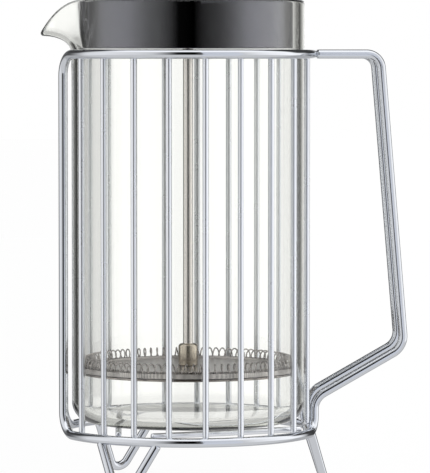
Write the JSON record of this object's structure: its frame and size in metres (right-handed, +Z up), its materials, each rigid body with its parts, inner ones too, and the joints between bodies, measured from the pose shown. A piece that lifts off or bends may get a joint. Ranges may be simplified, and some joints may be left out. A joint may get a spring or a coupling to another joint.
{
  "type": "french press",
  "caption": "French press: glass beaker in a chromed wire cage with a two-wire handle, hairpin legs, a sleeved lid and a plunger with a sprung mesh filter.",
  "frame": {"origin": "on the table, on the axis of the beaker", "axes": "+Z up along the beaker's axis, +X towards the handle, -X towards the spout, -Y towards the front of the cage"},
  "size_m": [0.1515, 0.1094, 0.2657],
  "materials": {
    "chromed_wire": "polished chrome plated steel wire",
    "beaker_glass": "clear borosilicate glass",
    "lid_chrome": "polished chrome plated steel sheet",
    "knob_plastic": "gloss black moulded plastic",
    "rod_steel": "drawn stainless steel rod",
    "nut_nickel": "warm nickel plated turned nut",
    "filter_steel": "stainless steel sheet, wire and woven mesh"
  },
  "bodies": {
    "frame": {"frame_wire_front": "chromed_wire", "frame_wire_back": "chromed_wire", "upright_wire_front_1": "chromed_wire", "upright_wire_front_2": "chromed_wire", "upright_wire_front_3": "chromed_wire", "upright_wire_front_4": "chromed_wire", "upright_wire_front_5": "chromed_wire", "upright_wire_front_6": "chromed_wire", "upright_wire_front_7": "chromed_wire", "upright_wire_front_8": "chromed_wire", "upright_wire_front_9": "chromed_wire", "upright_wire_back_1": "chromed_wire", "upright_wire_back_2": "chromed_wire", "upright_wire_back_3": "chromed_wire", "upright_wire_back_4": "chromed_wire", "upright_wire_back_5": "chromed_wire", "upright_wire_back_6": "chromed_wire", "upright_wire_back_7": "chromed_wire", "upright_wire_back_8": "chromed_wire", "upright_wire_back_9": "chromed_wire", "leg_handle": "chromed_wire", "leg_front": "chromed_wire", "leg_back": "chromed_wire", "beaker_rest_front": "chromed_wire", "beaker_rest_back": "chromed_wire", "beaker_rest_spout": "chromed_wire"},
    "beaker": {"beaker": "beaker_glass"},
    "lid": {"lid_skirt": "lid_chrome", "lid_dome": "lid_chrome", "lid_guide": "lid_chrome"},
    "plunger": {"plunger_knob": "knob_plastic", "plunger_rod": "rod_steel", "hub_nut": "nut_nickel", "spring_plate": "filter_steel", "filter_spring": "filter_steel", "filter_mesh": "filter_steel", "cross_plate": "filter_steel"}
  },
  "joints": [
    {"name": "beaker_lift", "type": "slide", "parent": "frame", "child": "beaker", "axis": [0, 0, 1], "range_m": [0, 0.16]},
    {"name": "lid_lift", "type": "slide", "parent": "beaker", "child": "lid", "axis": [0, 0, 1], "range_m": [0, 0.17]},
    {"name": "plunger_slide", "type": "slide", "parent": "lid", "child": "plunger", "axis": [0, 0, 1], "range_m": [-0.013, 0.126]}
  ]
}
